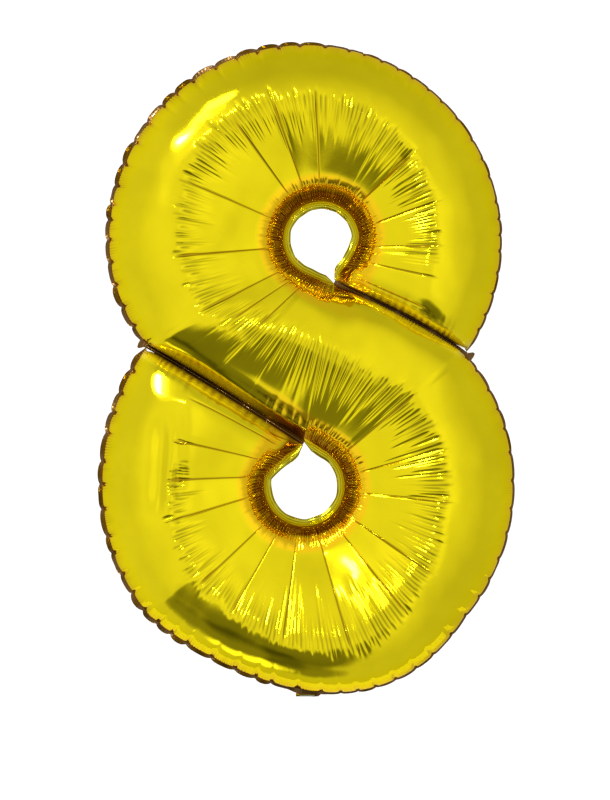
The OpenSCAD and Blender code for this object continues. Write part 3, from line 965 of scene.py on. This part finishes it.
def metal_film(name, colour, tint, roughness, coat, crinkle, metal=1.0):
    """Metallised film: mirror-like, with fine crinkles and slightly uneven colour and gloss."""
    material, nodes, links, shader = new_material(name)
    shader.inputs["Specular Tint"].default_value = (*tint, 1)
    shader.inputs["Coat Weight"].default_value = coat
    shader.inputs["Coat Roughness"].default_value = 0.04
    coord = nodes.new("ShaderNodeTexCoord")
    cloud = noise(nodes, CLOUD_SCALE, 3.0)
    links.new(coord.outputs["Object"], cloud.inputs["Vector"])
    uneven = nodes.new("ShaderNodeValToRGB")
    darker, lighter = uneven.color_ramp.elements[0], uneven.color_ramp.elements[1]
    darker.position = 0.35
    darker.color = (*[0.94 * c for c in colour], 1)
    lighter.position = 0.65
    lighter.color = (*[min(1, 1.04 * c) for c in colour], 1)
    links.new(cloud.outputs["Fac"], uneven.inputs["Fac"])
    base = uneven.outputs["Color"]
    # Painted light and shade over the foil's colour: an orange sheen on the shoulders, brown shade down in
    # the funnels, slits, creases and puckers, and dark strokes of shade in the pleats
    for label, tone in (("painted_sheen", PAINTED_SHEEN), ("painted_brown_shade", PAINTED_SHADE_BROWN), ("shade", SHADED)):
        mixer = nodes.new("ShaderNodeMix")
        mixer.data_type = "RGBA"
        mixer.inputs["B"].default_value = (*tone, 1)
        links.new(attribute(nodes, label), mixer.inputs["Factor"])
        links.new(base, mixer.inputs["A"])
        base = mixer.outputs["Result"]
    links.new(base, shader.inputs["Base Color"])
    map_to(nodes, links, attribute(nodes, "dull"), metal, DULL_METAL, shader.inputs["Metallic"])
    gloss = 0.75 * roughness, 1.35 * roughness
    map_to(nodes, links, cloud.outputs["Fac"], gloss[0], gloss[1], shader.inputs["Roughness"])
    fine = noise(nodes, CRINKLE_SCALE, 4.0)
    links.new(coord.outputs["Object"], fine.inputs["Vector"])
    bump_from(nodes, links, fine.outputs["Fac"], crinkle, shader.inputs["Normal"])
    return material


def clear_valve_film():
    """Milky clear film with faint ripples."""
    material, nodes, links, shader = new_material("clear_film")
    shader.inputs["Base Color"].default_value = (0.86, 0.89, 0.92, 1)
    shader.inputs["Transmission Weight"].default_value = 0.7
    shader.inputs["IOR"].default_value = 1.5
    ripple = noise(nodes, RIPPLE_SCALE, 2.0)
    map_to(nodes, links, ripple.outputs["Fac"], 0.15, 0.4, shader.inputs["Roughness"])
    bump_from(nodes, links, ripple.outputs["Fac"], 0.0004, shader.inputs["Normal"])
    return material


GOLD = (0.80, 0.66, 0.005)
foil = metal_film("gold_foil", GOLD, (0.95, 0.72, 0.15), 0.075, 0.06, 0.00005)
# Painted shade: the welds are the same gold foil, given a dark brown for the shade they sit in, curled
# against the films
painted_dark_weld_foil = metal_film("painted_dark_weld_foil", (0.11, 0.055, 0.010), (0.9, 0.6, 0.35), 0.24, 0.2, 0.0002, 0.6)
neck_foil = metal_film("neck_foil", GOLD, (0.95, 0.72, 0.25), 0.16, 0.25, 0.0004)
ring_foil = metal_film("ring_foil", (0.46, 0.42, 0.02), (0.9, 0.8, 0.3), 0.13, 0.1, 0.0001)
clear = clear_valve_film()
for piece in (front, rear):
    piece.data.materials.append(foil)
for piece in rings:
    piece.data.materials.append(ring_foil)
for piece in welds:
    piece.data.materials.append(painted_dark_weld_foil)
for names, material in ((("neck_front_ply", "neck_rear_ply"), neck_foil),
                        (("neck_left_seal", "neck_right_seal"), painted_dark_weld_foil),
                        (("valve_inlet_front_ply", "valve_inlet_rear_ply", "valve_front_flap",
                          "valve_rear_flap"), clear)):
    for name in names:
        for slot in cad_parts[name].material_slots:
            slot.material = material


# ---------------------------------------------------------------- camera, light and floor
FLOOR_Z = -0.55
FLOOR_CORNERS = ((-1, 0.15), (1, 0.15), (1, 1.2), (-1, 1.2))
# The light of the surroundings, brightest round the front: the direction, the angles in degrees within which
# it is full and beyond which it is at rest, its full level, and its level at rest
FRONT_LIGHT = ((0, -1, 0), 12, 62, 1.0, 0.69)
# Further round patches, given the same way, each added to or multiplied with the light so far. The first five
# are wide and soft, the next three are dark, and the last five are small lamps.
PATCHES = (
    ("ADD", (0.30, -0.95, 0), 0, 22, 0.16, 0.0),
    ("ADD", (-1, 0, 0), 20, 80, 0.17, 0.0),
    ("ADD", (0, -0.3, 1), 10, 55, -0.08, 0.0),
    ("ADD", (0, 1, 0), 13, 24, 0.45, 0.0),
    ("ADD", (-0.45, -0.77, 0.45), 3, 17, 0.30, 0.0),
    ("MULTIPLY", (-0.15, -0.73, -0.67), 12, 26, 0.25, 1.0),
    ("MULTIPLY", (-0.40, -0.42, -0.81), 8, 19, 0.35, 1.0),
    ("MULTIPLY", (-0.14, -0.26, -0.96), 6, 17, 0.4, 1.0),
    ("ADD", (-0.25, -0.87, 0.425), 0.8, 2.6, 75.0, 0.0),
    ("ADD", (-0.52, -0.65, 0.55), 1.0, 9, 22.0, 0.0),
    ("ADD", (-0.52, -0.65, 0.55), 1.0, 4.2, 130.0, 0.0),
    ("ADD", (-0.43, -0.55, 0.71), 1.0, 6, 12.0, 0.0),
    ("ADD", (-0.37, -0.13, -0.92), 2, 9, 1.5, 0.0),
)
# The camera's place, how far it is from the balloon, and the height that it sees there, in m
CAMERA_X, CAMERA_Z = -0.003, 0.388
CAMERA_DISTANCE = 3.0
SEEN_HEIGHT = 1.047
SENSOR_HEIGHT = 36.0


def pale_floor():
    mesh = bpy.data.meshes.new("floor")
    mesh.from_pydata([(x, y, FLOOR_Z) for x, y in FLOOR_CORNERS], [], [(0, 1, 2, 3)])
    floor = bpy.data.objects.new("floor", mesh)
    bpy.context.scene.collection.objects.link(floor)
    material, _, _, shader = new_material("pale_floor")
    shader.inputs["Base Color"].default_value = (0.9, 0.9, 0.9, 1)
    shader.inputs["Roughness"].default_value = 0.8
    mesh.materials.append(material)


def studio():
    """The surroundings light the balloon and are what its film mirrors."""
    world = bpy.data.worlds.new("studio")
    bpy.context.scene.world = world
    world.use_nodes = True
    nodes, links = world.node_tree.nodes, world.node_tree.links
    coord = nodes.new("ShaderNodeTexCoord")

    def spot(direction, inner, outer, level, rest):
        """Level inside a round patch of the surroundings, easing to the rest at its edge."""
        dot = nodes.new("ShaderNodeVectorMath")
        dot.operation = "DOT_PRODUCT"
        dot.inputs[1].default_value = Vector(direction).normalized()
        links.new(coord.outputs["Generated"], dot.inputs[0])
        ramp = nodes.new("ShaderNodeMapRange")
        ramp.interpolation_type = "SMOOTHSTEP"
        ramp.inputs["From Min"].default_value = math.cos(math.radians(outer))
        ramp.inputs["From Max"].default_value = math.cos(math.radians(inner))
        ramp.inputs["To Min"].default_value = rest
        ramp.inputs["To Max"].default_value = level
        links.new(dot.outputs["Value"], ramp.inputs["Value"])
        return ramp.outputs["Result"]

    light = spot(*FRONT_LIGHT)
    for operation, *patch in PATCHES:
        join = nodes.new("ShaderNodeMath")
        join.operation = operation
        links.new(light, join.inputs[0])
        links.new(spot(*patch), join.inputs[1])
        light = join.outputs[0]
    back = nodes["Background"]
    back.inputs["Color"].default_value = (1, 1, 1, 1)
    links.new(light, back.inputs["Strength"])
    bpy.context.scene.view_settings.view_transform = "Standard"


def camera():
    data = bpy.data.cameras.new("camera")
    cam = bpy.data.objects.new("camera", data)
    bpy.context.scene.collection.objects.link(cam)
    cam.location = (CAMERA_X, -CAMERA_DISTANCE, CAMERA_Z)
    cam.rotation_euler = (math.pi / 2, 0, 0)
    data.sensor_fit = "VERTICAL"
    data.sensor_height = SENSOR_HEIGHT
    data.lens = SENSOR_HEIGHT * CAMERA_DISTANCE / SEEN_HEIGHT
    bpy.context.scene.camera = cam


pale_floor()
studio()
camera()
